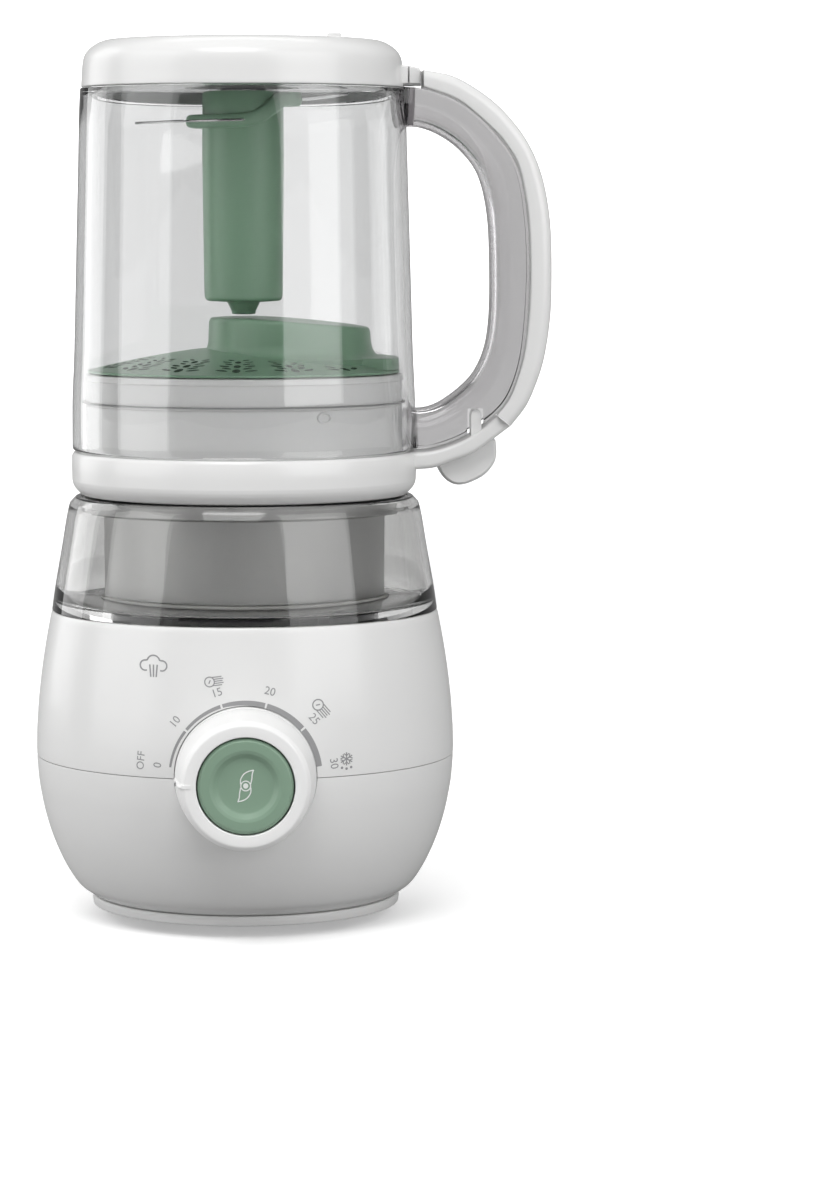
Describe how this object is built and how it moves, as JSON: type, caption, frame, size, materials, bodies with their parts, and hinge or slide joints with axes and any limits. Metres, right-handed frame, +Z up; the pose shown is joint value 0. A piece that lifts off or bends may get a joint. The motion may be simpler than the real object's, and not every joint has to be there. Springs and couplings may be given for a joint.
{
  "type": "baby food maker",
  "caption": "Countertop steamer and blender: a clear handled jar stands upside down on a rounded base with a water tank and a timer dial.",
  "frame": {"origin": "on the base's centre line, at the surface it stands on", "axes": "+Z up along the stack, -Y the dial's side, +X the jar's handle"},
  "size_m": [0.186, 0.173, 0.3128],
  "materials": {
    "white_plastic": "satin moulded white",
    "green_plastic": "satin sage green",
    "smoke_plastic": "polished, see-through smoke grey",
    "clear_plastic": "polished, clear",
    "grey_plastic": "matte",
    "black_plastic": "matte",
    "rubber": "matte",
    "silicone": "satin, milky",
    "blade_steel": "ground and polished",
    "motor_steel": "brushed",
    "aluminium": "satin",
    "copper": "drawn and varnished",
    "circuit_board": "lacquered"
  },
  "bodies": {
    "base": {"bottom_cover": "white_plastic", "rubber_foot_1": "rubber", "rubber_foot_2": "rubber", "rubber_foot_3": "rubber", "rubber_foot_4": "rubber", "cover_screw_1": "motor_steel", "cover_screw_2": "motor_steel", "cover_screw_3": "motor_steel", "cover_screw_4": "motor_steel", "lower_shell": "white_plastic", "upper_shell": "white_plastic", "cord_inlet": "black_plastic", "dial_seat": "white_plastic", "timer_module": "black_plastic", "control_board": "circuit_board", "relay_block": "black_plastic", "boiler_cup": "aluminium", "boiler_lid": "grey_plastic", "heating_element": "copper", "thermostat": "motor_steel", "steam_pipe": "silicone", "steam_nozzle": "silicone", "water_pipe": "silicone", "motor_housing": "motor_steel", "motor_end_plate": "aluminium", "motor_stator": "copper", "lower_bearing": "copper", "upper_bearing": "copper", "chassis_plate": "grey_plastic", "water_tank": "smoke_plastic", "tank_gasket": "silicone", "tank_core": "grey_plastic", "deck": "white_plastic", "interlock_switch": "black_plastic"},
    "dial": {"dial": "white_plastic"},
    "button": {"blend_button": "green_plastic"},
    "motor": {"rotor_core": "motor_steel", "motor_shaft": "motor_steel", "cooling_fan": "black_plastic", "drive_coupling": "grey_plastic"},
    "plunger": {"interlock_plunger": "white_plastic"},
    "lid": {"lid": "white_plastic"},
    "seal": {"lid_seal": "silicone"},
    "strainer": {"strainer": "green_plastic"},
    "jar": {"jar": "clear_plastic", "handle_cover": "white_plastic", "jar_cap": "white_plastic", "spindle_bush": "grey_plastic"},
    "spindle": {"spindle": "motor_steel", "drive_socket": "grey_plastic"},
    "blade_unit": {"blade_column": "green_plastic", "blade_lower": "blade_steel", "blade_upper": "blade_steel"}
  },
  "joints": [
    {"name": "dial_turn", "type": "hinge", "parent": "base", "child": "dial", "pos_m": [0, -0.087, 0.0564], "axis": [0, 1, 0], "range_deg": [0, 166]},
    {"name": "button_press", "type": "slide", "parent": "base", "child": "button", "axis": [0, 1, 0], "range_m": [0, 0.0025], "stiffness_N_per_m": 600},
    {"name": "motor_spin", "type": "hinge", "parent": "base", "child": "motor", "pos_m": [0, 0, 0.1], "axis": [0, 0, 1], "continuous": true},
    {"name": "plunger_press", "type": "slide", "parent": "base", "child": "plunger", "axis": [0, 0, 1], "range_m": [-0.002, 0], "stiffness_N_per_m": 200},
    {"name": "jar_lift", "type": "slide", "parent": "base", "child": "lid", "axis": [0, 0, 1], "range_m": [0, 0.12]},
    {"name": "lid_turn", "type": "hinge", "parent": "lid", "child": "seal", "pos_m": [0, 0, 0.18], "axis": [0, 0, 1], "range_deg": [0, 25]},
    {"name": "jar_off", "type": "slide", "parent": "seal", "child": "jar", "axis": [0, 0, 1], "range_m": [0, 0.24]},
    {"name": "strainer_lift", "type": "slide", "parent": "lid", "child": "strainer", "axis": [0, 0, 1], "range_m": [0, 0.05]},
    {"name": "blade_spin", "type": "hinge", "parent": "jar", "child": "spindle", "pos_m": [0, 0, 0.29], "axis": [0, 0, 1], "continuous": true},
    {"name": "blade_off", "type": "slide", "parent": "spindle", "child": "blade_unit", "axis": [0, 0, 1], "range_m": [-0.135, 0]}
  ],
  "couplings": [
    {"joint": "strainer_lift", "follows": "jar_off", "ratio": 0.2},
    {"joint": "blade_off", "follows": "jar_off", "ratio": -0.55}
  ]
}
